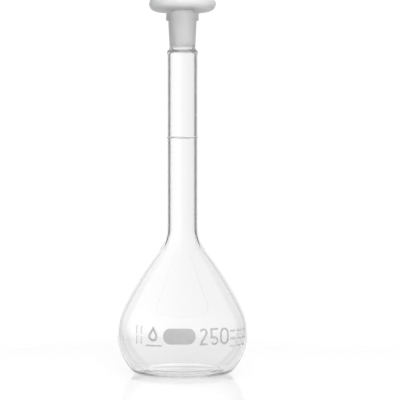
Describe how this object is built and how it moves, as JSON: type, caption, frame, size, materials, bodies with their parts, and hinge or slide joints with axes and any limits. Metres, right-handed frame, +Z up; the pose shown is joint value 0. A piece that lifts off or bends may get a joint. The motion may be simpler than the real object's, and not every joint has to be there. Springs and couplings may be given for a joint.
{
  "type": "volumetric flask",
  "caption": "Volumetric flask with a pear-shaped body, a long narrow neck with a ring mark, a ground joint and a push-in plastic stopper.",
  "frame": {"origin": "centre of the foot ring, on the surface that the flask stands on", "axes": "+Z up along the axis of body, neck and joint; -Y towards the viewer who reads the enamel marks; +X to that viewer's right"},
  "size_m": [0.08, 0.0801, 0.231],
  "materials": {
    "borosilicate_glass": "clear, fire-polished, with a ground socket",
    "white_enamel": "fired enamel print, satin",
    "polyethylene": "milky translucent moulding, satin"
  },
  "bodies": {
    "flask": {"bulb": "borosilicate_glass", "neck_tube": "borosilicate_glass", "joint_socket": "borosilicate_glass", "graduation_ring": "white_enamel", "writing_patch": "white_enamel", "digit_two": "white_enamel", "digit_five": "white_enamel", "digit_zero": "white_enamel", "drop_emblem": "white_enamel", "emblem_bar": "white_enamel", "side_dashes": "white_enamel", "upper_line": "white_enamel", "middle_line": "white_enamel", "lower_line": "white_enamel"},
    "stopper": {"stopper": "polyethylene"}
  },
  "joints": [
    {"name": "stopper_lift", "type": "slide", "parent": "flask", "child": "stopper", "axis": [0, 0, 1], "range_m": [0, 0.05]}
  ]
}
